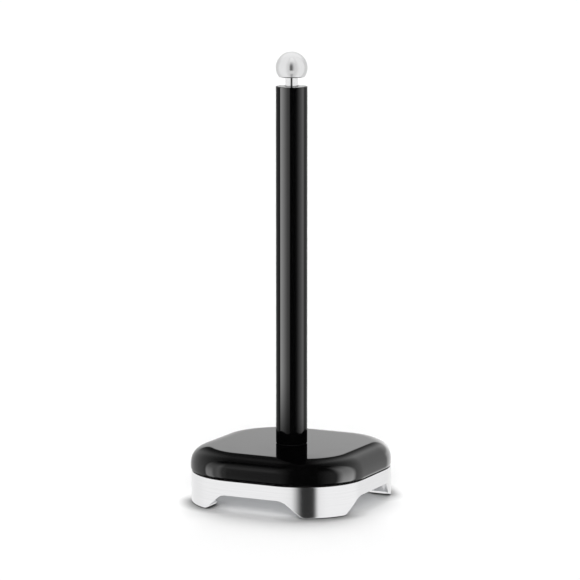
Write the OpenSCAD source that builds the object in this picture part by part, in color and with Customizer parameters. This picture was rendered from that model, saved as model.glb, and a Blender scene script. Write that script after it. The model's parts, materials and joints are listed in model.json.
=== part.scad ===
// Free-standing paper towel holder: a weighted base with four corner feet, an upright tube that turns on
// a fixed spindle, and a ball knob that screws onto the spindle's top. Millimetres, +Z up, origin on the
// resting surface under the middle of the base, -Y is the front.

/* [Base outline] */
// Half the width of the foot ring, middle to outer face
ring_half = 72.8; // [60:0.1:90]
// Distance from the middle to the centre of each corner's curve
corner_c = 20.8; // [15:0.1:25]
// How far the cover stands out past the foot ring at its widest
cover_overhang = 0.6; // [0:0.1:1.5]

/* [Base heights] */
// How far the rubber pads lift the metal feet off the surface
pad_lift = 0.6; // [0.3:0.1:1.5]
// Height of the flat top of each arch between two feet
arch_top = 13.4; // [10:0.1:14]
// Height of the foot ring's top edge
ring_top = 25.1; // [24:0.1:30]
// Height of the dark gap between foot ring and cover
seam_gap = 1; // [0.5:0.1:2]
// Height of the cover's flat top
cover_top = 44.4; // [42:0.1:50]

/* [Foot ring] */
// Thickness of the foot ring's wall
ring_wall = 2.5; // [2:0.1:4]
// Half the length of an arch along its flat top
arch_half = 26.9; // [20:0.1:30]
// Half the clear length between two feet at the resting surface
foot_gap_half = 43.1; // [38:0.1:46]
// Radius that blends an arch's flat top into its sloping ends
arch_blend = 13; // [8:0.5:16]

/* [Cover] */
// Thickness of the cover's shell
cover_wall = 2; // [1.5:0.1:4]
// Half the width of the flat part of the cover's top
flat_half = 55; // [50:0.5:60]
// Height at which the cover is widest
widest_z = 28.5; // [27:0.1:31]
// How far the cover's lower edge is tucked in
tuck = 0.5; // [0:0.1:1]
// Power of the shoulder's curve: 2 is an ellipse, more is squarer
shoulder_power = 2.6; // [2:0.1:4]

/* [Post] */
// Outer diameter of the turning tube
tube_d = 25; // [22:0.5:25]
// Wall of the tube
tube_wall = 1.2; // [1:0.1:2]
// Height of the tube's top edge
tube_top = 330.2; // [250:0.1:340]
// Diameter of the spindle, which shows as the bare neck under the ball
spindle_d = 10; // [9:0.5:10]
// Length of bare neck between tube and ball
neck_length = 7.3; // [5:0.1:12]

/* [Ball] */
// Diameter of the ball knob
ball_d = 25; // [25:0.5:25]
// Distance from the ball's centre down to its flat underside
ball_flat = 7.4; // [6:0.1:9]

/* [Feet and fasteners] */
// Diameter of each rubber pad
pad_d = 12; // [10:0.5:13]
// Distance of each pad from the middle, along X and along Y
pad_place = 51.6; // [50:0.1:53]
// Distance of each plate screw from the middle, along X and along Y
screw_place = 44; // [42:0.5:46]
// Outer diameter of the thread at each end of the spindle
stud_d = 8; // [6:0.5:8]

/* [Hidden] */
$fn = 96;
black_paint = [0.03, 0.03, 0.035];
bright_metal = [0.82, 0.82, 0.83];
zinc = [0.6, 0.61, 0.63];
cast_iron = [0.25, 0.25, 0.26];
brass = [0.78, 0.63, 0.3];
black_rubber = [0.06, 0.06, 0.06];
nylon = [0.12, 0.12, 0.12];

// Clearances: a hole that turns on a shaft, a hole that only lets a part through, two faces that slide
running = 0.05;
loose = 0.2;
face_gap = 0.1;
// How far a cutting shape runs past the faces it cuts
past = 1;

// Corner radii, measured from the corner centre
ring_r = ring_half - corner_c;
ring_inner_r = ring_r - ring_wall;
cover_r = ring_r + cover_overhang;
flat_r = flat_half - corner_c;
cover_bottom = ring_top + seam_gap;
cover_ceiling = cover_top - cover_wall;
// Hub and screw bosses grow out of the middle of the cover's thickness
boss_root = cover_top - cover_wall / 2;

// Bottom plate and the ledge that it bolts up against
plate_thickness = 1.5;
plate_bottom = 14.6;
plate_top = plate_bottom + plate_thickness;
ledge_thickness = 2.5;
ledge_width = 6;
ledge_r = ring_inner_r - ledge_width;

// Corner sole that closes each foot and holds its pad
sole_top = 3;
sole_chord = 92;
pad_top = pad_lift + 1.5;

// Gasket
gasket_inset = 1;
gasket_flange = 5;
gasket_lip = 1.6;
gasket_lip_depth = 4;

// Ballast block and the stack of washers and nut under it
hub_r = 11;
hub_depth = 1;
ballast_r = 41.2;
ballast_top = cover_ceiling - hub_depth;
ballast_height = 13;
ballast_bottom = ballast_top - ballast_height;
nut_pocket_r = 10.5;
nut_pocket_depth = 6;
washer_top = ballast_bottom + nut_pocket_depth;
washer_thickness = 1.6;
washer_r = 8.5;
spring_thickness = 2;
spring_r = 7;
spring_top = washer_top - washer_thickness;
nut_top = spring_top - spring_thickness;
nut_height = 6.5;
nut_flats = 13;
stud_r = stud_d / 2;
stud_bottom = nut_top - nut_height - 1.8;

// Screws and the cover's screw bosses
boss_r = 4.5;
boss_hole_r = 1.5;
boss_hole_depth = 14;
screw_r = 1.45;
screw_head_r = 3.5;
screw_head = 1.5;
screw_length = 12;
screw_slot_w = 0.9;
screw_slot_depth = 0.8;

// Tube, bushes and glide washer
tube_r = tube_d / 2;
tube_inner_r = tube_r - tube_wall;
spindle_r = spindle_d / 2;
glide_thickness = 0.5;
glide_inset = 0.6;
glide_top = cover_top + glide_thickness;
tube_bottom = glide_top + face_gap;
bush_length = 14;
lower_bush_bottom = tube_bottom + 1;

// Neck, ball and its threaded insert
neck_top = tube_top + neck_length - face_gap;
ball_bottom = tube_top + neck_length;
ball_z = ball_bottom + ball_flat;
ball_r = ball_d / 2;
insert_r = 5.55;
insert_length = 9;
knob_stud_length = 8.6;

// Steps along the cover's shoulder and along an arch's blend
shoulder_steps = 12;
blend_steps = 6;

// ---- outline helpers ----

// Carries a flat section round the base's outline: a quarter turn at each corner, a straight run along each
// side. The section's X is the distance out from the corner centre and its Y is the height.
module around_base(section) {
    for (turn = [0:90:270]) rotate([0, 0, turn]) translate([corner_c, corner_c, 0]) {
        rotate_extrude(angle = 90) polygon(section);
        rotate([90, 0, 0]) linear_extrude(height = 2 * corner_c) polygon(section);
    }
}

// A ring of rectangular section that follows the base's outline
module base_ring(outer_r, inner_r, bottom, top) {
    around_base([[inner_r, bottom], [outer_r, bottom], [outer_r, top], [inner_r, top]]);
}

// Fills the square between the four corner centres
module middle_block(bottom, top) {
    translate([-corner_c, -corner_c, bottom]) cube([2 * corner_c, 2 * corner_c, top - bottom]);
}

// A solid slab that follows the base's outline
module base_slab(outer_r, bottom, top) {
    base_ring(outer_r, 0, bottom, top);
    middle_block(bottom, top);
}

// Places a part at the same distance along X and Y in all four corners
module at_corners(place) {
    for (turn = [0:90:270]) rotate([0, 0, turn]) translate([place, place, 0]) children();
}

// A plain disc or tube between two heights, on the vertical axis
module tube_between(outer_r, inner_r, bottom, top) {
    difference() {
        translate([0, 0, bottom]) cylinder(r = outer_r, h = top - bottom);
        translate([0, 0, bottom - past]) cylinder(r = inner_r, h = top - bottom + 2 * past);
    }
}

// Points of the cover's rounded shoulder, from its widest height up to the flat top, at an inset
function shoulder(inset) = [
    for (i = [0:shoulder_steps]) let (a = 90 * i / shoulder_steps)
        [
            flat_r + (cover_r - flat_r - inset) * pow(cos(a), 2 / shoulder_power),
            widest_z + (cover_top - widest_z - inset) * pow(sin(a), 2 / shoulder_power)
        ]
];

// Height lost for each millimetre an arch's sloping end runs outwards
arch_slope = arch_top / (foot_gap_half - arch_half);
arch_angle = atan(arch_slope);
arch_reach = foot_gap_half + past / arch_slope;
blend_start = arch_half - arch_blend * tan(arch_angle / 2);

// Right-hand half of the arch's outline, from the middle of its flat top to below the feet
function arch_side() = concat(
    [for (i = [0:blend_steps]) let (a = 90 - arch_angle * i / blend_steps)
        [blend_start + arch_blend * cos(a), arch_top - arch_blend + arch_blend * sin(a)]],
    [[arch_reach, -past]]
);
function flipped(points) = [for (i = [len(points) - 1:-1:0]) [-points[i][0], points[i][1]]];

// ---- base ----

// Cuts one arch through both walls of the foot ring, along Y
module arch_cut() {
    length = 2 * (ring_half + past);
    translate([0, length / 2, 0]) rotate([90, 0, 0]) linear_extrude(height = length)
        polygon(concat(flipped(arch_side()), arch_side()));
}

// The bright skirt: a thin wall with a ledge inside, a sole in each corner and an arch in each side
module foot_ring() color(bright_metal) difference() {
    union() {
        around_base([
            [ring_inner_r, pad_lift], [ring_r, pad_lift], [ring_r, ring_top], [ring_inner_r, ring_top],
            [ring_inner_r, plate_top + ledge_thickness], [ledge_r, plate_top + ledge_thickness],
            [ledge_r, plate_top], [ring_inner_r, plate_top]
        ]);
        corner_soles();
    }
    arch_cut();
    rotate([0, 0, 90]) arch_cut();
    at_corners(pad_place) translate([0, 0, pad_lift - past])
        cylinder(d = pad_d + loose, h = pad_top - pad_lift + past);
}

// Flat soles inside the wall, cut off straight across each corner
module corner_soles() {
    reach = ring_half;
    intersection() {
        base_ring(ring_inner_r, 0, pad_lift, sole_top);
        for (turn = [0:90:270]) rotate([0, 0, turn]) linear_extrude(height = sole_top)
            polygon([[sole_chord - reach, reach], [reach, sole_chord - reach], [reach, reach]]);
    }
}

// The gloss black shell with a flat top and a soft shoulder, open underneath
module base_cover() color(black_paint) difference() {
    union() {
        around_base(concat(
            [[cover_r - tuck - cover_wall, cover_bottom], [cover_r - tuck, cover_bottom]],
            shoulder(0),
            [[0, cover_top], [0, cover_ceiling]],
            [for (i = [shoulder_steps:-1:0]) shoulder(cover_wall)[i]]
        ));
        middle_block(cover_ceiling, cover_top);
        translate([0, 0, ballast_top]) cylinder(r = hub_r, h = boss_root - ballast_top);
        at_corners(screw_place) translate([0, 0, plate_top])
            cylinder(r = boss_r, h = boss_root - plate_top);
    }
    translate([0, 0, ballast_top - past])
        cylinder(r = stud_r + loose, h = cover_top - ballast_top + 2 * past);
    at_corners(screw_place) translate([0, 0, plate_top - past])
        cylinder(r = boss_hole_r, h = boss_hole_depth + past);
}

// The black trim ring that fills the gap, with a lip that centres it inside the foot ring
module seam_gasket() color(black_rubber) {
    flange_r = ring_r - gasket_inset;
    lip_r = ring_inner_r - face_gap;
    around_base([
        [flange_r - gasket_flange, ring_top], [lip_r - gasket_lip, ring_top],
        [lip_r - gasket_lip, ring_top - gasket_lip_depth], [lip_r, ring_top - gasket_lip_depth],
        [lip_r, ring_top], [flange_r, ring_top], [flange_r, cover_bottom],
        [flange_r - gasket_flange, cover_bottom]
    ]);
}

// The cast iron block that makes the base heavy, with a pocket for the nut
module ballast_block() color(cast_iron) difference() {
    base_slab(ballast_r, ballast_bottom, ballast_top);
    translate([0, 0, ballast_bottom - past])
        cylinder(r = stud_r + 1.5 * loose, h = ballast_height + 2 * past);
    translate([0, 0, ballast_bottom - past]) cylinder(r = nut_pocket_r, h = nut_pocket_depth + past);
    at_corners(screw_place) translate([0, 0, ballast_bottom - past])
        cylinder(r = boss_r + 1, h = ballast_height + 2 * past);
}

// The sheet steel plate that closes the base from below
module bottom_plate() color(zinc) difference() {
    base_slab(ring_inner_r - loose, plate_bottom, plate_top);
    at_corners(screw_place) translate([0, 0, plate_bottom - past])
        cylinder(r = screw_r + loose, h = plate_thickness + 2 * past);
}

// One round rubber pad, set into the sole of corner 1 to 4
module foot_pad(corner) color(black_rubber)
    rotate([0, 0, 90 * (corner - 1)]) translate([pad_place, pad_place, 0]) cylinder(d = pad_d, h = pad_top);

// Four slotted pan-head screws that hold the plate to the cover's bosses
module plate_screws() color(bright_metal) at_corners(screw_place) difference() {
    union() {
        translate([0, 0, plate_bottom - screw_head]) cylinder(r = screw_head_r, h = screw_head);
        translate([0, 0, plate_bottom - screw_head / 2])
            cylinder(r = screw_r, h = screw_length + screw_head / 2);
    }
    translate([-screw_head_r - past, -screw_slot_w / 2, plate_bottom - screw_head - past])
        cube([2 * (screw_head_r + past), screw_slot_w, screw_slot_depth + past]);
}

// ---- spindle ----

// The fixed steel rod: a stud down through the base, a shoulder on the cover, a bare neck and a stud on top
module spindle() color(bright_metal) union() {
    translate([0, 0, stud_bottom]) cylinder(r = stud_r, h = neck_top + knob_stud_length - stud_bottom);
    translate([0, 0, cover_top]) cylinder(r = spindle_r, h = neck_top - cover_top);
}

// Hexagon nut that pulls the spindle down onto the cover
module spindle_nut() color(zinc) difference() {
    translate([0, 0, nut_top - nut_height]) cylinder(d = nut_flats / cos(30), h = nut_height, $fn = 6);
    translate([0, 0, nut_top - nut_height - past])
        cylinder(r = stud_r + running, h = nut_height + 2 * past);
}

// Flat washer against the ballast block
module spindle_washer() color(zinc)
    tube_between(washer_r, stud_r + loose, washer_top - washer_thickness, washer_top);

// Split washer between flat washer and nut
module spring_washer() color(zinc) difference() {
    tube_between(spring_r, stud_r + loose, nut_top, spring_top);
    translate([0, -loose, nut_top - past]) cube([spring_r + past, 2 * loose, spring_thickness + 2 * past]);
}

// Slippery washer that the tube turns on
module glide_washer() color(nylon)
    tube_between(tube_r - glide_inset, spindle_r + loose, cover_top, glide_top);

// ---- turning tube ----

// The long gloss black tube that the roll stands round
module post_tube() color(black_paint) tube_between(tube_r, tube_inner_r, tube_bottom, tube_top);

// Plain bush pressed into an end of the tube, turning on the spindle
module bush(bottom) color(nylon)
    tube_between(tube_inner_r - running, spindle_r + running, bottom, bottom + bush_length);

module lower_bush() bush(lower_bush_bottom);
// Its shiny top end lies flush with the tube's rim
module upper_bush() bush(tube_top - bush_length);

// ---- ball ----

// The polished ball with a flat underside and a blind hole for its threaded insert
module ball_knob() color(bright_metal) difference() {
    translate([0, 0, ball_z]) sphere(r = ball_r);
    translate([-ball_r, -ball_r, ball_bottom - ball_d]) cube([ball_d, ball_d, ball_d]);
    translate([0, 0, ball_bottom - past])
        cylinder(r = insert_r + running, h = insert_length + past + face_gap);
}

// Brass insert that carries the ball's thread
module knob_insert() color(brass)
    tube_between(insert_r, stud_r + running, ball_bottom, ball_bottom + insert_length);

foot_ring();
base_cover();
seam_gasket();
ballast_block();
bottom_plate();
for (corner = [1:4]) foot_pad(corner);
plate_screws();
spindle();
spindle_nut();
spindle_washer();
spring_washer();
glide_washer();
post_tube();
lower_bush();
upper_bush();
ball_knob();
knob_insert();
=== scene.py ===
"""Looks of the paper towel holder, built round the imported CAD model. Metres, +Z up, -Y is the front."""
import json
import math

import bmesh
import bpy
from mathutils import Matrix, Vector


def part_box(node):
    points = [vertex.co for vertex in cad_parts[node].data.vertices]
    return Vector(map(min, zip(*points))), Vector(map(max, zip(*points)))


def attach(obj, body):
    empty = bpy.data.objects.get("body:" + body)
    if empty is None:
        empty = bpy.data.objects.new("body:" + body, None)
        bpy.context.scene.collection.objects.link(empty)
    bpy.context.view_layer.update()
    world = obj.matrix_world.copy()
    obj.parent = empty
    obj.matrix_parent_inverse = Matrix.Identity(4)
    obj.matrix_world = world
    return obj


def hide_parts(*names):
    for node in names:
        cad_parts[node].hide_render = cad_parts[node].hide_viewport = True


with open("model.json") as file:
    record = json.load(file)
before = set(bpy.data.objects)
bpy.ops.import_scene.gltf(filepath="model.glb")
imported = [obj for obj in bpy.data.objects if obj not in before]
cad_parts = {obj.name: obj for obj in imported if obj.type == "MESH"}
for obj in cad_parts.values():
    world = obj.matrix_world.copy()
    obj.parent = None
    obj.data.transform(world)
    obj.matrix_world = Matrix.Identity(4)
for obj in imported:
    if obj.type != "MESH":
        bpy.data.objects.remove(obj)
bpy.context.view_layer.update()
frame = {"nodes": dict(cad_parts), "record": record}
MM = 0.001
MERGE_DISTANCE = 0.0001 * MM
SHARP_ANGLE = math.radians(40)

# ---- sizes, read from the CAD nodes where a node gives them ----

RING_LOW, RING_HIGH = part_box("foot_ring")
COVER_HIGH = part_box("base_cover")[1]
GASKET_LOW, GASKET_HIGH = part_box("seam_gasket")
TUBE_LOW, TUBE_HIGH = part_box("post_tube")
SPINDLE_LOW, SPINDLE_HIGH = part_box("spindle")
BALL_LOW, BALL_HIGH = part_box("ball_knob")
INSERT_LOW, INSERT_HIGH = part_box("knob_insert")
UPPER_BUSH_LOW, UPPER_BUSH_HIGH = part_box("upper_bush")
PLATE_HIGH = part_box("bottom_plate")[1]
BALLAST_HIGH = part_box("ballast_block")[1]
PAD_LOW, PAD_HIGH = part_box("foot_pad_1")

# Outline: four corner arcs about centres CORNER from the middle, joined by straight sides
CORNER = 20.8 * MM
RING_R = RING_HIGH.x - CORNER
RING_WALL = 2.5 * MM
RING_INNER_R = RING_R - RING_WALL
RING_BOTTOM, RING_TOP = RING_LOW.z, RING_HIGH.z
LEDGE_R = RING_INNER_R - 6 * MM
LEDGE_THICKNESS = 2.5 * MM
CORNER_STEPS = 60
SIDE_STEPS = 24
SOLE_POINTS = 120

# Arches between the feet
ARCH_TOP = 13.4 * MM
ARCH_HALF = 26.9 * MM
FOOT_GAP_HALF = 43.1 * MM
ARCH_BLEND = 13 * MM
FOOT_BLEND = 2.5 * MM

# Cover
COVER_R = COVER_HIGH.x - CORNER
COVER_TOP = COVER_HIGH.z
COVER_BOTTOM = GASKET_HIGH.z
COVER_WALL = 2 * MM
FLAT_R = 55 * MM - CORNER
WIDEST_Z = 28.5 * MM
TUCK = 0.5 * MM
SHOULDER_POWER = 2.6
SHOULDER_STEPS = 40
DISC_STEPS = 12
SCREW_PLACE = 44 * MM

# Spindle, its threads and the ball
STUD_R = 4 * MM
HOLE_R = STUD_R + 0.2 * MM
THREAD_PITCH = 1.25 * MM
THREAD_DEPTH = 0.65 * MM
THREAD_ROWS = 10
BALL_STEPS = 72


# ---- mesh helpers ----

def loft(rings, closed=False):
    """Corner points and faces of a surface through rings of points, all of one length."""
    verts = [p for ring in rings for p in ring]
    count = len(rings[0])
    faces = []
    for i in range(len(rings) if closed else len(rings) - 1):
        a, b = i * count, (i + 1) % len(rings) * count
        for j in range(count):
            k = (j + 1) % count
            faces.append((a + j, a + k, b + k, b + j))
    return verts, faces


def join_parts(parts):
    """Several (verts, faces) pairs as one."""
    verts, faces = [], []
    for part_verts, part_faces in parts:
        start = len(verts)
        verts += part_verts
        faces += [tuple(start + i for i in face) for face in part_faces]
    return verts, faces


def make_piece(name, parts, body, node, slot):
    """A finished piece that replaces one CAD node: merged, smooth-shaded, in its slot's material."""
    verts, faces = join_parts(parts)
    mesh = bpy.data.meshes.new(name)
    mesh.from_pydata([tuple(v) for v in verts], [], faces)
    mesh.validate()
    bm = bmesh.new()
    bm.from_mesh(mesh)
    bmesh.ops.remove_doubles(bm, verts=bm.verts, dist=MERGE_DISTANCE)
    bmesh.ops.dissolve_degenerate(bm, edges=bm.edges, dist=MERGE_DISTANCE)
    bmesh.ops.recalc_face_normals(bm, faces=bm.faces)
    bm.to_mesh(mesh)
    bm.free()
    mesh.shade_smooth()
    mesh.set_sharp_from_angle(angle=SHARP_ANGLE)
    piece = bpy.data.objects.new(name, mesh)
    bpy.context.scene.collection.objects.link(piece)
    weighted = piece.modifiers.new("weighted_normals", "WEIGHTED_NORMAL")
    weighted.keep_sharp = True
    mesh.materials.append(MATERIALS[slot])
    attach(piece, body)
    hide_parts(node)


def rounded(section, steps=4):
    """A section's points (across, height, radius) with each corner rounded by its own radius."""
    points = []
    for i, (x, z, radius) in enumerate(section):
        here = Vector((x, z))
        before = Vector(section[i - 1][:2]) - here
        after = Vector(section[(i + 1) % len(section)][:2]) - here
        if radius <= 0 or before.length < 1e-9 or after.length < 1e-9:
            points.append((x, z))
            continue
        half = before.angle(after) / 2
        if half > math.radians(88):
            points.append((x, z))
            continue
        reach = min(radius / math.tan(half), 0.45 * before.length, 0.45 * after.length)
        radius = reach * math.tan(half)
        bisector = (before.normalized() + after.normalized()).normalized()
        centre = here + bisector * radius / math.sin(half)
        start = here + before.normalized() * reach - centre
        end = here + after.normalized() * reach - centre
        sweep = start.angle(end)
        turn = math.copysign(sweep, start.x * end.y - start.y * end.x)
        for k in range(steps + 1):
            a = turn * k / steps
            points.append((centre.x + start.x * math.cos(a) - start.y * math.sin(a),
                           centre.y + start.x * math.sin(a) + start.y * math.cos(a)))
    return points


def circle(radius, z, count, centre=(0, 0)):
    return [Vector((centre[0] + radius * math.cos(2 * math.pi * j / count),
                    centre[1] + radius * math.sin(2 * math.pi * j / count), z)) for j in range(count)]


def turned(section, count=96, centre=(0, 0), closed=True):
    """A solid turned about the vertical through centre, from section points (radius, height)."""
    return loft([circle(r, z, count, centre) for r, z in section], closed)


def outline_directions():
    """Round the base's outline: the point each sample is measured from, and its outward direction."""
    samples = []
    for quarter in range(4):
        start = quarter * math.pi / 2
        across = Vector((-math.sin(start), math.cos(start)))
        out = Vector((math.cos(start), math.sin(start)))
        for i in range(SIDE_STEPS):
            samples.append((out * CORNER + across * CORNER * (2 * i / SIDE_STEPS - 1), out))
        for i in range(CORNER_STEPS):
            a = start + math.pi / 2 * i / CORNER_STEPS
            samples.append((out * CORNER + across * CORNER, Vector((math.cos(a), math.sin(a)))))
    return samples


OUTLINE = outline_directions()


def outline(radius, z):
    """The base's outline at a distance from the corner centres, at one height."""
    return [Vector((*(centre + direction * radius), z)) for centre, direction in OUTLINE]


def swept(section):
    """A closed section (distance from corner centre, height) carried round the base's outline."""
    return loft([outline(r, z) for r, z in section], closed=True)


def between(ring_a, ring_b, steps):
    """Rings that blend evenly from one to another, both left out."""
    return [[a.lerp(b, k / steps) for a, b in zip(ring_a, ring_b)] for k in range(1, steps)]


def disc_from_outline(radius, hole_r, z):
    """Rings from the outline in to a round hole, along the same bearings."""
    outer = outline(radius, z)
    hole = [Vector((p.x, p.y, 0)).normalized() * hole_r + Vector((0, 0, z)) for p in outer]
    return [outer, *between(outer, hole, DISC_STEPS), hole]


# ---- material helpers ----

def new_material(name, **inputs):
    """A Principled material with its uniform values set on the shader's own sockets."""
    material = bpy.data.materials.new(name)
    material.use_nodes = True
    shader = material.node_tree.nodes["Principled BSDF"]
    for key, value in inputs.items():
        shader.inputs[key.replace("_", " ")].default_value = value
    return material, material.node_tree, shader


def add_node(tree, kind, inputs=None, **settings):
    node = tree.nodes.new(kind)
    for key, value in settings.items():
        setattr(node, key, value)
    for key, value in (inputs or {}).items():
        if isinstance(value, bpy.types.NodeSocket):
            tree.links.new(value, node.inputs[key])
        else:
            node.inputs[key].default_value = value
    return node


def object_coords(tree, scale):
    """The piece's own coordinates, in metres, stretched by scale along X, Y and Z."""
    coords = add_node(tree, "ShaderNodeTexCoord").outputs["Object"]
    return add_node(tree, "ShaderNodeMapping", {"Vector": coords, "Scale": scale}).outputs[0]


def noise(tree, scale, detail=2.0, roughness=0.5, stretch=(1, 1, 1)):
    return add_node(tree, "ShaderNodeTexNoise", {
        "Vector": object_coords(tree, stretch), "Scale": scale, "Detail": detail, "Roughness": roughness,
    }).outputs["Fac"]


def remap(tree, value, low, high):
    """Spreads a noise value, which stays near its middle, over low to high."""
    return add_node(tree, "ShaderNodeMapRange", {
        "Value": value, "From Min": 0.3, "From Max": 0.7, "To Min": low, "To Max": high,
    }).outputs[0]


def colour_between(tree, value, dark, light):
    ends = {0: value, 6: (*dark, 1), 7: (*light, 1)}
    return add_node(tree, "ShaderNodeMix", ends, data_type="RGBA").outputs[2]


def bump(tree, height, distance, strength):
    return add_node(tree, "ShaderNodeBump", {
        "Height": height, "Distance": distance, "Strength": strength}).outputs[0]


def link(tree, output, shader, socket):
    tree.links.new(output, shader.inputs[socket])


# ---- materials ----

def gloss_black():
    """High-gloss black enamel: a faint orange peel, and polish that varies a little."""
    material, tree, shader = new_material("gloss_black", Metallic=0.0, IOR=1.45)
    link(tree, colour_between(tree, noise(tree, 60), (0.0004, 0.0004, 0.0005), (0.0009, 0.0009, 0.0010)),
         shader, "Base Color")
    link(tree, remap(tree, noise(tree, 45, 4), 0.02, 0.05), shader, "Roughness")
    link(tree, bump(tree, noise(tree, 350, 2), 0.000004, 0.5), shader, "Normal")
    return material


def gloss_nylon():
    """Turned and polished black nylon."""
    material, tree, shader = new_material("gloss_nylon", Metallic=0.0, IOR=1.45)
    link(tree, colour_between(tree, noise(tree, 80), (0.0004, 0.0004, 0.0005), (0.0009, 0.0009, 0.0010)),
         shader, "Base Color")
    link(tree, remap(tree, noise(tree, 700, 3), 0.02, 0.05), shader, "Roughness")
    return material


def brushed_metal():
    """Satin metal with fine brush lines that run round the ring."""
    material, tree, shader = new_material(
        "brushed_metal", Metallic=1.0, Anisotropic=0.7, Anisotropic_Rotation=0.25)
    lines = noise(tree, 900, 3, 0.6, stretch=(0.02, 0.02, 1.6))
    clouds = noise(tree, 35, 3)
    link(tree, colour_between(tree, lines, (0.74, 0.74, 0.75), (0.86, 0.86, 0.865)), shader, "Base Color")
    link(tree, remap(tree, clouds, 0.15, 0.19), shader, "Roughness")
    link(tree, bump(tree, lines, 0.000006, 0.2), shader, "Normal")
    return material


def polished_steel():
    """Turned and polished steel, with very fine rings left by the polishing."""
    material, tree, shader = new_material("polished_steel", Metallic=1.0)
    rings = noise(tree, 1500, 2, 0.5, stretch=(0.05, 0.05, 1))
    link(tree, colour_between(tree, noise(tree, 80), (0.78, 0.78, 0.785), (0.86, 0.86, 0.865)),
         shader, "Base Color")
    link(tree, remap(tree, rings, 0.10, 0.17), shader, "Roughness")
    link(tree, bump(tree, rings, 0.000003, 0.3), shader, "Normal")
    return material


def black_rubber():
    material, tree, shader = new_material("black_rubber", Metallic=0.0, IOR=1.5)
    grain = noise(tree, 1800, 3)
    link(tree, colour_between(tree, noise(tree, 120, 3), (0.002, 0.002, 0.002), (0.006, 0.0055, 0.0055)),
         shader, "Base Color")
    link(tree, remap(tree, grain, 0.6, 0.85), shader, "Roughness")
    link(tree, bump(tree, grain, 0.00003, 0.5), shader, "Normal")
    return material


def black_nylon():
    material, tree, shader = new_material("black_nylon", Metallic=0.0, IOR=1.5)
    grain = noise(tree, 1200, 2)
    link(tree, colour_between(tree, noise(tree, 200), (0.004, 0.004, 0.0045), (0.007, 0.007, 0.0075)),
         shader, "Base Color")
    link(tree, remap(tree, grain, 0.35, 0.5), shader, "Roughness")
    link(tree, bump(tree, grain, 0.00001, 0.4), shader, "Normal")
    return material


def cast_iron():
    material, tree, shader = new_material("cast_iron", Metallic=0.8)
    grain = noise(tree, 500, 6, 0.65)
    link(tree, colour_between(tree, noise(tree, 60, 4), (0.045, 0.045, 0.047), (0.12, 0.115, 0.11)),
         shader, "Base Color")
    link(tree, remap(tree, grain, 0.55, 0.8), shader, "Roughness")
    link(tree, bump(tree, grain, 0.0002, 0.6), shader, "Normal")
    return material


def zinc_plate():
    """Zinc-plated sheet and fasteners, with the plating's faint cloudy patches."""
    material, tree, shader = new_material("zinc_plate", Metallic=1.0)
    patches = noise(tree, 90, 5, 0.6)
    link(tree, colour_between(tree, patches, (0.42, 0.43, 0.45), (0.62, 0.63, 0.64)), shader, "Base Color")
    link(tree, remap(tree, patches, 0.28, 0.45), shader, "Roughness")
    link(tree, bump(tree, noise(tree, 900, 3), 0.000008, 0.4), shader, "Normal")
    return material


def brass():
    material, tree, shader = new_material("brass", Metallic=1.0)
    rings = noise(tree, 1400, 2, 0.5, stretch=(0.05, 0.05, 1))
    link(tree, colour_between(tree, noise(tree, 150, 3), (0.62, 0.44, 0.16), (0.78, 0.58, 0.25)),
         shader, "Base Color")
    link(tree, remap(tree, rings, 0.2, 0.32), shader, "Roughness")
    link(tree, bump(tree, rings, 0.00001, 0.4), shader, "Normal")
    return material


MATERIALS = {make.__name__: make() for make in (
    gloss_black, gloss_nylon, brushed_metal, polished_steel, black_rubber, black_nylon, cast_iron,
    zinc_plate, brass)}


# ---- foot ring ----

ARCH_ANGLE = math.atan2(ARCH_TOP, FOOT_GAP_HALF - ARCH_HALF)


def arch_height(u):
    """Height of an arch's outline at a distance u from its middle, or of the foot beyond it."""
    slope = math.tan(ARCH_ANGLE)
    top_reach = ARCH_BLEND * math.tan(ARCH_ANGLE / 2)
    foot_reach = FOOT_BLEND * math.tan(ARCH_ANGLE / 2)
    foot_u = FOOT_GAP_HALF - RING_BOTTOM / slope
    if u <= ARCH_HALF - top_reach:
        return ARCH_TOP
    if u <= ARCH_HALF + top_reach * math.cos(ARCH_ANGLE):
        across = u - (ARCH_HALF - top_reach)
        return ARCH_TOP - ARCH_BLEND + math.sqrt(ARCH_BLEND ** 2 - across ** 2)
    if u <= foot_u - foot_reach * math.cos(ARCH_ANGLE):
        return (FOOT_GAP_HALF - u) * slope
    if u <= foot_u + foot_reach:
        across = foot_u + foot_reach - u
        return RING_BOTTOM + FOOT_BLEND - math.sqrt(FOOT_BLEND ** 2 - across ** 2)
    return RING_BOTTOM


def ring_bottom_at(point):
    return max(arch_height(abs(point.x)), arch_height(abs(point.y)))


def foot_ring_wall():
    """The skirt's wall and ledge, section by section, because the lower edge follows the arches."""
    edge, inner_edge = 0.5 * MM, 0.3 * MM
    ledge_low, ledge_high = PLATE_HIGH.z, PLATE_HIGH.z + LEDGE_THICKNESS
    columns = []
    for centre, direction in OUTLINE:
        low_out = ring_bottom_at(centre + direction * RING_R)
        low_in = ring_bottom_at(centre + direction * RING_INNER_R)
        section = rounded([
            (RING_R, low_out, edge), (RING_R, RING_TOP, edge), (RING_INNER_R, RING_TOP, inner_edge),
            (RING_INNER_R, ledge_high, 0), (LEDGE_R, ledge_high, inner_edge),
            (LEDGE_R, ledge_low, inner_edge), (RING_INNER_R, ledge_low, 0),
            (RING_INNER_R, low_in, inner_edge),
        ])
        columns.append([Vector((*(centre + direction * r), z)) for r, z in section])
    return loft(columns, closed=True)


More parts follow.
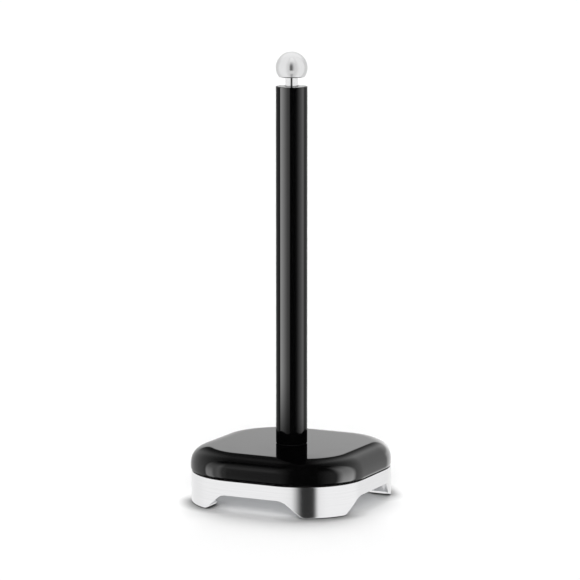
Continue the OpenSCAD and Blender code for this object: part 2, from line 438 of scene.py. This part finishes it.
def sole(turn):
    """The flat sole inside one corner of the ring, with a round pocket for its pad."""
    chord = 92 * MM
    pocket_r = (PAD_HIGH.x - PAD_LOW.x) / 2 + 0.1 * MM
    pad_place = (PAD_HIGH.x + PAD_LOW.x) / 2
    pocket_top, sole_top = PAD_HIGH.z, 3 * MM
    slope = math.tan(ARCH_ANGLE)
    wall_overlap = 0.3 * MM

    def reach(angle, z):
        """Distance from the pad's centre to the sole's edge."""
        direction = Vector((math.cos(angle), math.sin(angle)))
        low_u = FOOT_GAP_HALF - z / slope
        best = 1.0
        if direction.x + direction.y < -1e-6:
            best = min(best, (chord - 2 * pad_place) / (direction.x + direction.y))
        for part in direction:
            if part < -1e-6:
                best = min(best, (low_u - pad_place) / part)
        offset = Vector((pad_place - CORNER, pad_place - CORNER))
        along = offset.dot(direction)
        radius = RING_INNER_R + wall_overlap
        best = min(best, -along + math.sqrt(along ** 2 - offset.length_squared + radius ** 2))
        return best

    def place(angle, distance, z):
        x, y = pad_place + distance * math.cos(angle), pad_place + distance * math.sin(angle)
        return Vector((x * math.cos(turn) - y * math.sin(turn), x * math.sin(turn) + y * math.cos(turn), z))

    def round_ring(radius, z):
        return [place(angle, radius, z) for angle in angles]

    def edge_ring(inset, level, z):
        """A ring on the sole's edge at one level, moved in by the inset and set at the height z."""
        return [place(angle, reach(angle, level) - inset, z) for angle in angles]

    angles = [2 * math.pi * j / SOLE_POINTS for j in range(SOLE_POINTS)]
    edge = 0.25 * MM
    return loft([
        round_ring(0, pocket_top), round_ring(pocket_r, pocket_top),
        round_ring(pocket_r, RING_BOTTOM + edge), round_ring(pocket_r + edge, RING_BOTTOM),
        edge_ring(edge, RING_BOTTOM, RING_BOTTOM), edge_ring(0, RING_BOTTOM, RING_BOTTOM + edge),
        edge_ring(0, sole_top, sole_top - edge), edge_ring(edge, sole_top, sole_top),
        round_ring(0, sole_top),
    ])


def build_foot_ring():
    parts = [foot_ring_wall()] + [sole(quarter * math.pi / 2) for quarter in range(4)]
    make_piece("foot_ring_brushed", parts, "base", "foot_ring", "brushed_metal")


# ---- cover and gasket ----

def shoulder(inset):
    """The cover's rounded shoulder, from its widest height up to the flat top."""
    points = []
    for i in range(SHOULDER_STEPS + 1):
        a = math.pi / 2 * i / SHOULDER_STEPS
        points.append((FLAT_R + (COVER_R - FLAT_R - inset) * max(math.cos(a), 0) ** (2 / SHOULDER_POWER),
                       WIDEST_Z + (COVER_TOP - WIDEST_Z - inset) * math.sin(a) ** (2 / SHOULDER_POWER)))
    return points


def build_cover():
    """The shell, from its lower lip over the shoulder to the hole in its top and back, hub and bosses."""
    lip = rounded([
        (COVER_R - TUCK - COVER_WALL, WIDEST_Z, 0), (COVER_R - TUCK - COVER_WALL, COVER_BOTTOM, 0.3 * MM),
        (COVER_R - TUCK, COVER_BOTTOM, 0.45 * MM), (COVER_R - 0.1 * TUCK, WIDEST_Z - 1.1 * MM, 0),
    ])
    inner = shoulder(COVER_WALL)[::-1]
    rings = [outline(r, z) for r, z in lip[1:] + shoulder(0)]
    lead_in = 0.3 * MM
    rings += disc_from_outline(FLAT_R, HOLE_R + lead_in, COVER_TOP)[1:]
    hole = [Vector((p.x, p.y, 0)).normalized() * HOLE_R for p in rings[-1]]
    rings.append([p + Vector((0, 0, COVER_TOP - lead_in)) for p in hole])
    ceiling = COVER_TOP - COVER_WALL
    rings.append([p + Vector((0, 0, ceiling)) for p in hole])
    rings += disc_from_outline(FLAT_R, HOLE_R, ceiling)[::-1][1:]
    rings += [outline(r, z) for r, z in inner[1:]]
    parts = [loft(rings, closed=True)]
    hub_r, root = 11 * MM, COVER_TOP - COVER_WALL / 2
    parts.append(turned([(HOLE_R, BALLAST_HIGH.z), (hub_r, BALLAST_HIGH.z), (hub_r, root), (HOLE_R, root)]))
    boss_r, boss_hole_r = 4.5 * MM, 1.5 * MM
    boss = [(boss_hole_r, PLATE_HIGH.z), (boss_r, PLATE_HIGH.z), (boss_r, root), (boss_hole_r, root)]
    for x in (-SCREW_PLACE, SCREW_PLACE):
        for y in (-SCREW_PLACE, SCREW_PLACE):
            parts.append(turned(boss, 48, (x, y)))
    make_piece("base_cover_gloss", parts, "base", "base_cover", "gloss_black")


def build_gasket():
    flange_r, lip_r = RING_R - 1 * MM, RING_INNER_R - 0.1 * MM
    flange, lip = 5 * MM, 1.6 * MM
    edge = 0.25 * MM
    section = rounded([
        (flange_r - flange, RING_TOP, edge),
        (lip_r - lip, RING_TOP, 0), (lip_r - lip, GASKET_LOW.z, edge),
        (lip_r, GASKET_LOW.z, edge), (lip_r, RING_TOP, 0), (flange_r, RING_TOP, edge),
        (flange_r, GASKET_HIGH.z, edge), (flange_r - flange, GASKET_HIGH.z, edge),
    ])
    make_piece("seam_gasket_ring", [swept(section)], "base", "seam_gasket", "black_rubber")


# ---- tube, spindle and ball ----

def build_tube():
    outer, inner = TUBE_HIGH.x, TUBE_HIGH.x - 1.2 * MM
    section = rounded([
        (inner, TUBE_LOW.z, 0.2 * MM), (outer, TUBE_LOW.z, 0.35 * MM),
        (outer, TUBE_HIGH.z, 0.35 * MM), (inner, TUBE_HIGH.z, 0.25 * MM),
    ], 6)
    make_piece("post_tube_gloss", [turned(section, 192)], "tube", "post_tube", "gloss_black")


def build_upper_bush():
    outer, inner = UPPER_BUSH_HIGH.x, SPINDLE_HIGH.x + 0.05 * MM
    section = rounded([
        (inner, UPPER_BUSH_LOW.z, 0.3 * MM), (outer, UPPER_BUSH_LOW.z, 0.4 * MM),
        (outer, UPPER_BUSH_HIGH.z, 0.4 * MM), (inner, UPPER_BUSH_HIGH.z, 0.5 * MM),
    ])
    make_piece("upper_bush_turned", [turned(section, 128)], "tube", "upper_bush", "gloss_nylon")


def threaded(low, high, plain_high, count):
    """Rings of a screw thread inside the stud's radius, fading in from below and, if asked, out above."""
    rings = []
    steps = round((high - low) / THREAD_PITCH * THREAD_ROWS)
    for i in range(steps + 1):
        z = low + (high - low) * i / steps
        ring = []
        for j in range(count):
            phase = (z / THREAD_PITCH - j / count) % 1
            depth = THREAD_DEPTH * (1 - abs(2 * phase - 1))
            fade = min(1, (z - low) / THREAD_PITCH, (high - z) / THREAD_PITCH if plain_high else 1)
            r = STUD_R - depth * max(fade, 0)
            a = 2 * math.pi * j / count
            ring.append(Vector((r * math.cos(a), r * math.sin(a), z)))
        rings.append(ring)
    return rings


def build_spindle():
    """One turned rod: threaded stud, shoulder on the cover, shank and neck, threaded stud for the ball."""
    count = 64
    chamfer = 0.4 * MM
    neck_top = INSERT_LOW.z - 0.1 * MM
    shank_r = SPINDLE_HIGH.x
    lower_thread_top = SPINDLE_LOW.z + 14 * MM
    end_r = STUD_R - THREAD_DEPTH
    rings = [circle(0, SPINDLE_LOW.z, count), circle(end_r, SPINDLE_LOW.z, count)]
    rings += threaded(SPINDLE_LOW.z + chamfer, lower_thread_top, True, count)
    rings += [circle(STUD_R, COVER_TOP, count), circle(shank_r - chamfer / 2, COVER_TOP, count)]
    rings += [circle(shank_r, COVER_TOP + chamfer / 2, count)]
    rings += [circle(shank_r, TUBE_HIGH.z - 4 * MM, count), circle(shank_r, neck_top - chamfer, count)]
    rings += [circle(shank_r - chamfer / 2, neck_top - chamfer * 0.15, count)]
    rings += [circle(shank_r - chamfer, neck_top, count)]
    rings += [circle(end_r, neck_top, count)]
    rings += threaded(neck_top + 0.2 * MM, SPINDLE_HIGH.z - chamfer, False, count)
    rings += [circle(end_r, SPINDLE_HIGH.z, count), circle(0, SPINDLE_HIGH.z, count)]
    make_piece("spindle_turned", [loft(rings)], "base", "spindle", "polished_steel")


def build_ball():
    """The ball: a full sphere above a flat underside, with a softened rim and the insert's blind hole."""
    radius = BALL_HIGH.x
    centre_z = BALL_HIGH.z - radius
    flat_drop = centre_z - BALL_LOW.z
    hole_r, hole_top = INSERT_HIGH.x + 0.05 * MM, INSERT_HIGH.z + 0.1 * MM
    start = -math.asin(flat_drop / radius)
    arc = [start + (math.pi / 2 - start) * i / BALL_STEPS for i in range(BALL_STEPS + 1)]
    rim = radius * math.cos(start)
    lead_in = 0.35 * MM
    profile = [(0, hole_top), (hole_r, hole_top),
               (hole_r, BALL_LOW.z + lead_in), (hole_r + lead_in, BALL_LOW.z),
               (rim - 0.5 * MM, BALL_LOW.z), (rim - 0.12 * MM, BALL_LOW.z + 0.05 * MM),
               (rim + 0.06 * MM, BALL_LOW.z + 0.2 * MM)]
    profile += [(max(radius * math.cos(a), 0), centre_z + radius * math.sin(a)) for a in arc[2:]]
    ball = turned(profile, 144, closed=False)
    make_piece("ball_knob_polished", [ball], "knob", "ball_knob", "polished_steel")


# ---- feet ----

def build_pads():
    """Round rubber pads with a softened lower edge and two moulded grip rings underneath."""
    for number in range(1, 5):
        low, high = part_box(f"foot_pad_{number}")
        centre = ((low.x + high.x) / 2, (low.y + high.y) / 2)
        radius = (high.x - low.x) / 2
        groove = 0.25 * MM
        profile = [(0, high.z), (radius, high.z), (radius, low.z + 0.35 * MM),
                   (radius - 0.1 * MM, low.z + 0.1 * MM), (radius - 0.35 * MM, low.z)]
        for ring_r in (4.2 * MM, 2.6 * MM):
            profile += [(ring_r + 0.35 * MM, low.z), (ring_r + 0.15 * MM, low.z + groove),
                        (ring_r - 0.15 * MM, low.z + groove), (ring_r - 0.35 * MM, low.z)]
        profile += [(0, low.z)]
        pad = turned(profile, 64, centre, closed=False)
        make_piece(f"foot_pad_{number}_moulded", [pad], "base", f"foot_pad_{number}", "black_rubber")


# ---- pieces that keep their CAD shape ----

def finish_cad_nodes():
    """Every CAD node that still shows gets its slot's material."""
    for part in frame["record"]["subparts"]:
        piece = frame["nodes"][part["node"]]
        if not piece.hide_render:
            piece.data.materials.clear()
            piece.data.materials.append(MATERIALS[part["material_slot"]])


build_foot_ring()
build_cover()
build_gasket()
build_tube()
build_upper_bush()
build_spindle()
build_ball()
build_pads()
finish_cad_nodes()


# ---- studio ----

# The camera stands at this bearing, to the right of the object's front
CAMERA_AZIMUTH = math.radians(26.2)
CAMERA_DISTANCE = 2.5
CAMERA_HEIGHT = 0.552
CAMERA_PITCH = math.radians(8.73)
CAMERA_YAW = math.radians(0.03)
CAMERA_LENS = 197.7
FLOOR_R = 14.0
STAGE_SIDES = 96
FLOOR_WHITE = 0.92
# Painted contact shade: something nearer to the floor than this darkens the floor's colour, by this power
PAINTED_SHADE_REACH = 14.5 * MM
PAINTED_SHADE_POWER = 1.8


def make_camera():
    data = bpy.data.cameras.new("camera")
    camera = bpy.data.objects.new("camera", data)
    bpy.context.scene.collection.objects.link(camera)
    camera.location = (CAMERA_DISTANCE * math.sin(CAMERA_AZIMUTH),
                       -CAMERA_DISTANCE * math.cos(CAMERA_AZIMUTH), CAMERA_HEIGHT)
    camera.rotation_euler = (math.pi / 2 - CAMERA_PITCH, 0, CAMERA_AZIMUTH + CAMERA_YAW)
    data.lens = CAMERA_LENS
    data.sensor_width = 36
    data.clip_end = 100
    bpy.context.scene.camera = camera


def stage_mesh(name, verts, faces):
    mesh = bpy.data.meshes.new(name)
    mesh.from_pydata([tuple(v) for v in verts], [], faces)
    obj = bpy.data.objects.new(name, mesh)
    bpy.context.scene.collection.objects.link(obj)
    return obj


def hide_from(obj, *rays):
    for ray in rays:
        setattr(obj, "visible_" + ray, False)


def floor_material():
    """White, with painted contact shade that darkens its colour where something stands close over it, and
    clear from below.
    """
    material, tree, shader = new_material("floor_white_painted_shade", Roughness=0.9, Specular_IOR_Level=0.0)
    nearness = {"Distance": PAINTED_SHADE_REACH}
    # Painted shade: ambient occlusion darkens the floor's colour round the feet and under the base
    painted_shade_lightness = add_node(tree, "ShaderNodeAmbientOcclusion", nearness, samples=6).outputs["AO"]
    painted_shade_lightness = maths(tree, "POWER", painted_shade_lightness, PAINTED_SHADE_POWER)
    link(tree, colour_between(tree, painted_shade_lightness, (0, 0, 0), (FLOOR_WHITE,) * 3), shader, "Base Color")
    from_below = add_node(tree, "ShaderNodeNewGeometry").outputs["Backfacing"]
    clear = add_node(tree, "ShaderNodeBsdfTransparent").outputs[0]
    sides = {0: from_below, 1: shader.outputs[0], 2: clear}
    surface = add_node(tree, "ShaderNodeMixShader", sides).outputs[0]
    tree.links.new(surface, tree.nodes["Material Output"].inputs["Surface"])
    return material


def glowing(name):
    """A plain white glow."""
    material = bpy.data.materials.new(name)
    material.use_nodes = True
    tree = material.node_tree
    tree.nodes.clear()
    glow = add_node(tree, "ShaderNodeEmission", {"Color": (1, 1, 1, 1), "Strength": 1.0})
    output = add_node(tree, "ShaderNodeOutputMaterial")
    tree.links.new(glow.outputs[0], output.inputs["Surface"])
    return material


def make_floor():
    """A white floor with painted contact shade, and a white surround far off that only the camera sees."""
    floor = stage_mesh("floor", *loft([circle(0, 0, STAGE_SIDES), circle(FLOOR_R, 0, STAGE_SIDES)]))
    if floor.data.polygons[-1].normal.z < 0:
        floor.data.flip_normals()
    floor.data.materials.append(floor_material())
    hide_from(floor, "glossy")
    wall_r, wall_top = FLOOR_R - 1, 2 * FLOOR_R
    corners = ((0, -wall_top), (wall_r, -wall_top), (wall_r, wall_top), (0, wall_top))
    wall = stage_mesh("backdrop", *loft([circle(r, z, STAGE_SIDES) for r, z in corners]))
    wall.data.materials.append(glowing("backdrop_white"))
    hide_from(wall, "diffuse", "glossy", "shadow", "transmission")


def smooth_step(tree, value, middle, softness):
    """0 well below middle, 1 well above it, and a smooth rise over softness either side."""
    return add_node(tree, "ShaderNodeMapRange", {
        "Value": value, "From Min": middle - softness, "From Max": middle + softness,
        "To Min": 0.0, "To Max": 1.0,
    }, interpolation_type="SMOOTHSTEP").outputs[0]


def maths(tree, operation, a, b):
    return add_node(tree, "ShaderNodeMath", {0: a, 1: b}, operation=operation).outputs[0]


def soft_window(tree, value, low, low_softness, high, high_softness):
    """1 between low and high, 0 outside, with an edge of its own softness at each end."""
    return maths(tree, "SUBTRACT", smooth_step(tree, value, low, low_softness),
                 smooth_step(tree, value, high, high_softness))


# What each finish reflects: panels of light as (strength, bearing window, height window), where a
# window is (low edge, its softness, high edge, its softness). A negative strength is a shade.
# Bearings are degrees round the object from the camera's side, right positive: -180 to 180, or 0 to
# 360 for a window that passes the back. Heights are degrees above the horizon, or millimetres above
# the floor for the tube's own tent.
ALL_HEIGHTS = (-95, 1, 95, 1)
ALL_ROUND = (-10, 1, 370, 1)
LEFT_EDGE_PANEL = (-98, 2, -82, 4)
RIGHT_PANEL = (65, 9, 98, 6)
COVER_PANELS = (
    (0.80, (168, 12, 196, 12), (-28, 6, 13.25, 0.5)),
    (0.66, (196, 12, 262, 8), (-28, 6, 38, 40)),
    (1.9, LEFT_EDGE_PANEL, (-28, 6, 4, 14)),
    (1.4, (-98, 4, -66, 6), (-28, 6, 32, 18)),
    (0.62, (-72, 6, -55, 4), (-28, 6, 34, 26)),
    (0.25, (-78, 6, -46, 12), (20, 3, 42, 18)),
    (0.28, (-56, 4, -32, 14), (-28, 6, 48, 28)),
    (0.40, (36, 18, 66, 6), (-28, 6, 35, 20)),
    (3.4, RIGHT_PANEL, (-28, 6, 44, 22)),
    (3.5, RIGHT_PANEL, (-28, 6, -5, 30)),
    (1.0, (98, 6, 170, 9), (-28, 6, 45, 35)),
    (0.85, (133, 4, 172, 14), (-28, 6, 12, 4)),
)
TUBE_PANELS = (
    (4.4, (-90, 2, -50, 30), (25, 40, 900, 60)),
    (1.2, (-90, 2, -14, 5), (25, 40, 900, 60)),
    (1.9, (62, 30, 98, 12), (5, 20, 900, 60)),
    (0.35, (40, 20, 200, 30), (0, 20, 900, 60)),
    (0.25, (200, 30, 264, 8), (0, 20, 900, 60)),
    (0.6, (152, 6, 176, 10), (0, 20, 900, 60)),
    (0.4, (200, 10, 214, 6), (0, 20, 900, 60)),
)
RING_PANELS = (
    (0.92, (21.5, 5, 347, 11), ALL_HEIGHTS),
    (0.10, (32, 12, 108, 10), ALL_HEIGHTS),
    (0.08, (-112, 18, -28, 16), ALL_HEIGHTS),
)
BALL_PANELS = (
    (0.70, ALL_ROUND, ALL_HEIGHTS),
    (0.20, (44, 16, 108, 8), ALL_HEIGHTS),
    (0.20, (-112, 18, -38, 16), ALL_HEIGHTS),
    (0.26, (112, 8, 248, 18), (35, 15, 95, 1)),
    (0.24, (-28, 16, 34, 16), (50, 25, 95, 1)),
    (-0.62, (-14, 7, 10, 14), (-12, 5, 38, 24)),
    (-0.35, (-13, 8, 13, 8), (-75, 6, -38, 8)),
)
NECK_PANELS = (
    (0.92, (15, 7, 339, 7), ALL_HEIGHTS),
)
DIM = 0.03

# The tube's tent is a cylinder close round it; the others are spheres, one outside another
TUBE_TENT_R = 0.25
TUBE_TENT_LOW, TUBE_TENT_HIGH = -0.2, 1.0
TENT_R = 3.0
TENT_SPACING = 0.2


def panel_light(tree, panels, height_in_mm):
    """The strength of all the panels together, by where on the tent a reflected ray meets it."""
    coords = add_node(tree, "ShaderNodeTexCoord").outputs["Object"]
    parts = add_node(tree, "ShaderNodeSeparateXYZ", {0: coords}).outputs
    toward = maths(tree, "MULTIPLY", parts["Y"], -1.0)
    bearing = maths(tree, "MULTIPLY", maths(tree, "ARCTAN2", parts["X"], toward), math.degrees(1))
    if height_in_mm:
        height = maths(tree, "DIVIDE", parts["Z"], MM)
    else:
        level = add_node(tree, "ShaderNodeVectorMath", {0: coords}, operation="NORMALIZE").outputs[0]
        level = add_node(tree, "ShaderNodeSeparateXYZ", {0: level}).outputs["Z"]
        height = maths(tree, "MULTIPLY", maths(tree, "ARCSINE", level, 0.0), math.degrees(1))
    on_the_left = maths(tree, "LESS_THAN", bearing, 0.0)
    full_turn = maths(tree, "ADD", bearing, maths(tree, "MULTIPLY", on_the_left, 360.0))
    total = 0.0
    for strength, bearing_window, height_window in panels:
        passes_behind = bearing_window[2] + bearing_window[3] > 180
        across = soft_window(tree, full_turn if passes_behind else bearing, *bearing_window)
        window = maths(tree, "MULTIPLY", across, soft_window(tree, height, *height_window))
        total = maths(tree, "ADD", maths(tree, "MULTIPLY", window, strength), total)
    return total


def tent_material(name, panels, height_in_mm, once):
    material = bpy.data.materials.new(name)
    material.use_nodes = True
    material.cycles.emission_sampling = "NONE"
    tree = material.node_tree
    tree.nodes.clear()
    strength = panel_light(tree, panels, height_in_mm)
    if once:
        bounce = add_node(tree, "ShaderNodeLightPath").outputs["Glossy Depth"]
        strength = maths(tree, "MULTIPLY", strength, maths(tree, "LESS_THAN", bounce, 1.5))
    glow = add_node(tree, "ShaderNodeEmission", {"Color": (1, 1, 1, 1), "Strength": strength})
    clear = add_node(tree, "ShaderNodeBsdfTransparent")
    both = add_node(tree, "ShaderNodeAddShader", {0: glow.outputs[0], 1: clear.outputs[0]})
    output = add_node(tree, "ShaderNodeOutputMaterial")
    tree.links.new(both.outputs[0], output.inputs["Surface"])
    return material


def make_tent(name, pieces, panels, rings, height_in_mm=False, once=False):
    """A see-through shell round the object whose glowing panels only the named pieces reflect.

    With once, a reflection of a reflection stays dark.
    """
    tent = stage_mesh(name, *loft(rings))
    tent.rotation_euler.z = CAMERA_AZIMUTH
    tent.data.materials.append(tent_material(name, panels, height_in_mm, once))
    hide_from(tent, "camera", "diffuse", "shadow", "transmission")
    receivers = bpy.data.collections.new(name + "_receivers")
    for piece in pieces:
        receivers.objects.link(piece)
    tent.light_linking.receiver_collection = receivers


def ball_rings(radius, rows=48):
    """Rings of a sphere about the origin, pole to pole."""
    angles = [math.pi * i / rows for i in range(rows + 1)]
    return [circle(radius * math.sin(a), -radius * math.cos(a), STAGE_SIDES) for a in angles]


def wearing(*names):
    """Every visible piece that has one of the named materials."""
    wanted = [MATERIALS[name] for name in names]
    return [o for o in bpy.context.scene.objects if o.type == "MESH" and not o.hide_render
            and o.data.materials and o.data.materials[0] in wanted]


def make_tents():
    tube = bpy.data.objects["post_tube_gloss"]
    cover = bpy.data.objects["base_cover_gloss"]
    top_bush = bpy.data.objects["upper_bush_turned"]
    ball = bpy.data.objects["ball_knob_polished"]
    neck = bpy.data.objects["spindle_turned"]
    metal = wearing("brushed_metal", "polished_steel", "zinc_plate", "brass", "cast_iron")
    metal = [piece for piece in metal if piece not in (ball, neck)]
    post_rings = [circle(TUBE_TENT_R, z, 128) for z in (TUBE_TENT_LOW, TUBE_TENT_HIGH)]
    make_tent("tube_tent", [tube], TUBE_PANELS, post_rings, height_in_mm=True, once=True)
    make_tent("cover_tent", [cover, top_bush], COVER_PANELS, ball_rings(TENT_R), once=True)
    make_tent("ring_tent", metal, RING_PANELS, ball_rings(TENT_R + TENT_SPACING))
    make_tent("ball_tent", [ball], BALL_PANELS, ball_rings(TENT_R + 2 * TENT_SPACING))
    make_tent("neck_tent", [neck], NECK_PANELS, ball_rings(TENT_R + 3 * TENT_SPACING))


def make_world():
    """A faint even light, so that nothing is quite black."""
    world = bpy.data.worlds.new("studio")
    bpy.context.scene.world = world
    world.use_nodes = True
    background = world.node_tree.nodes["Background"]
    background.inputs["Color"].default_value = (1, 1, 1, 1)
    background.inputs["Strength"].default_value = DIM


def make_soft_sun(name, irradiance, width, elevation, bearing):
    """A very wide sun: even light over the whole floor, with a soft shadow. Angles are in degrees."""
    data = bpy.data.lights.new(name, "SUN")
    data.energy = irradiance
    data.angle = math.radians(width)
    light = bpy.data.objects.new(name, data)
    light.rotation_euler = (math.radians(90 - elevation), 0, CAMERA_AZIMUTH + math.radians(bearing))
    hide_from(light, "glossy", "camera")
    bpy.context.scene.collection.objects.link(light)


make_camera()
make_floor()
make_tents()
make_world()
make_soft_sun("front_light", 3.1, 45, 25, 0)
make_soft_sun("back_light", 2.85, 50, 50, 180)
bpy.context.scene.view_settings.view_transform = "Standard"
